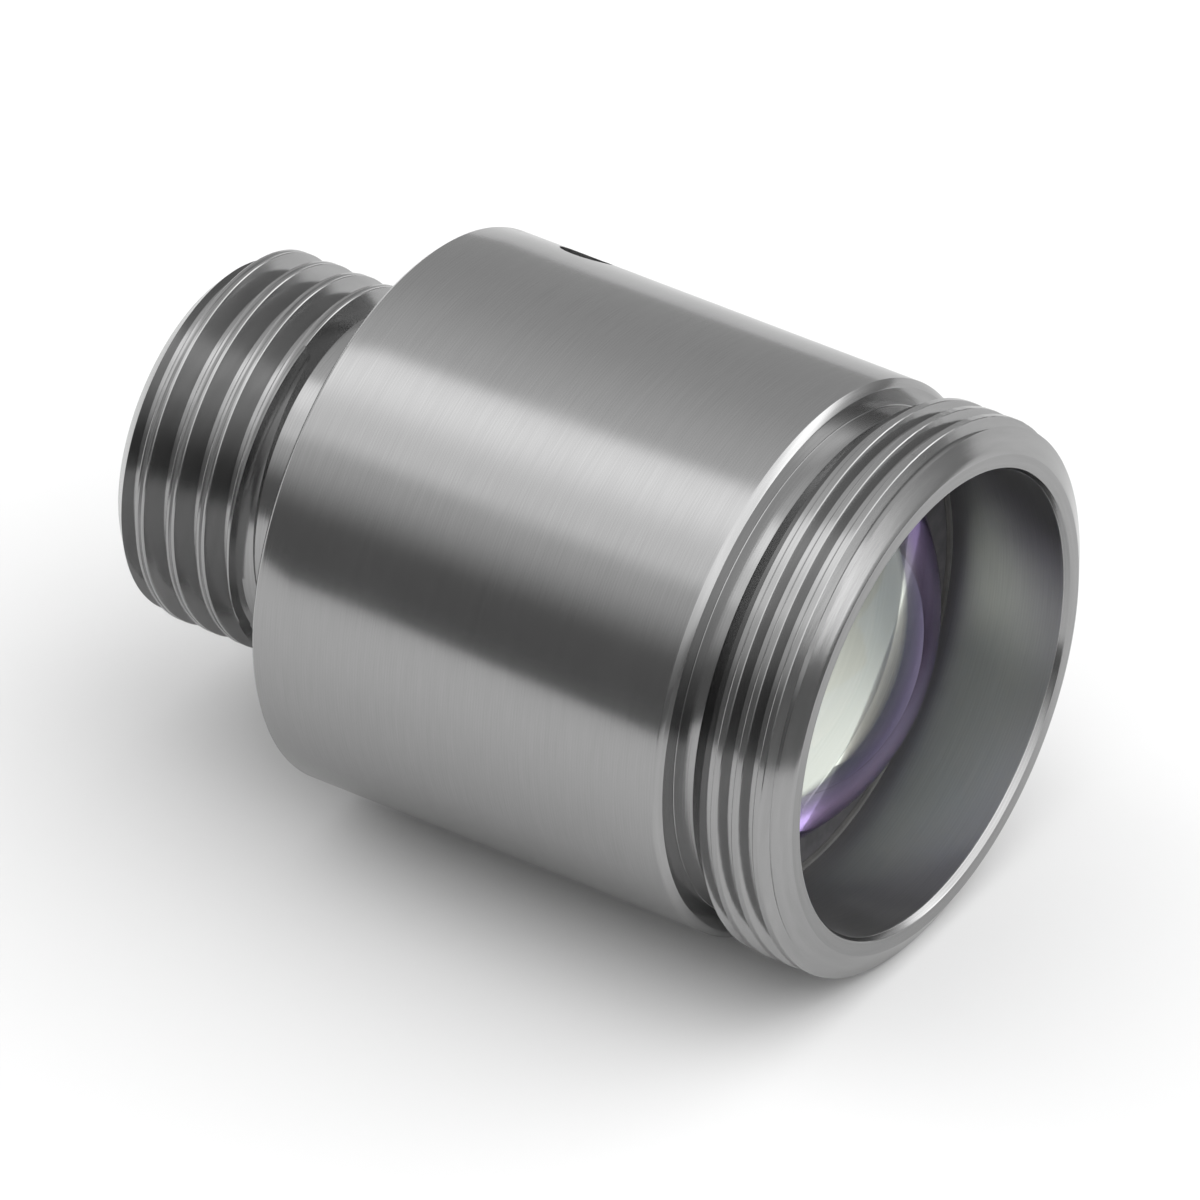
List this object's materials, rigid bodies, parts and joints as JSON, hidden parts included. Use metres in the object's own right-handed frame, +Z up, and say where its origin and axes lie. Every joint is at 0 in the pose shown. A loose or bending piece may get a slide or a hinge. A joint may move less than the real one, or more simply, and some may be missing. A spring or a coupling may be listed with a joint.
{
  "type": "fibre collimator",
  "caption": "Fixed-focus fibre collimator: turned steel barrel with a threaded front end, a moulded aspheric lens and a threaded receptacle for a fibre plug.",
  "frame": {"origin": "on the optical axis, in the plane of the barrel's rear face", "axes": "+X along the optical axis, the way the beam leaves; +Z up; +Y completes the right-handed set"},
  "size_m": [0.0177, 0.012, 0.012],
  "materials": {
    "barrel_steel": "stainless steel, fine turned lines round the axis, sharp bright edges",
    "receptacle_steel": "stainless steel, as turned and threaded",
    "lens_glass": "polished moulded glass with an anti-reflection coating, pale green and violet at a slant",
    "bond": "cured clear adhesive, slightly sunk, soft gloss"
  },
  "bodies": {
    "root": {"barrel": "barrel_steel", "fc_receptacle": "receptacle_steel", "lens": "lens_glass", "lens_bond": "bond", "receptacle_bond": "bond"}
  },
  "joints": []
}
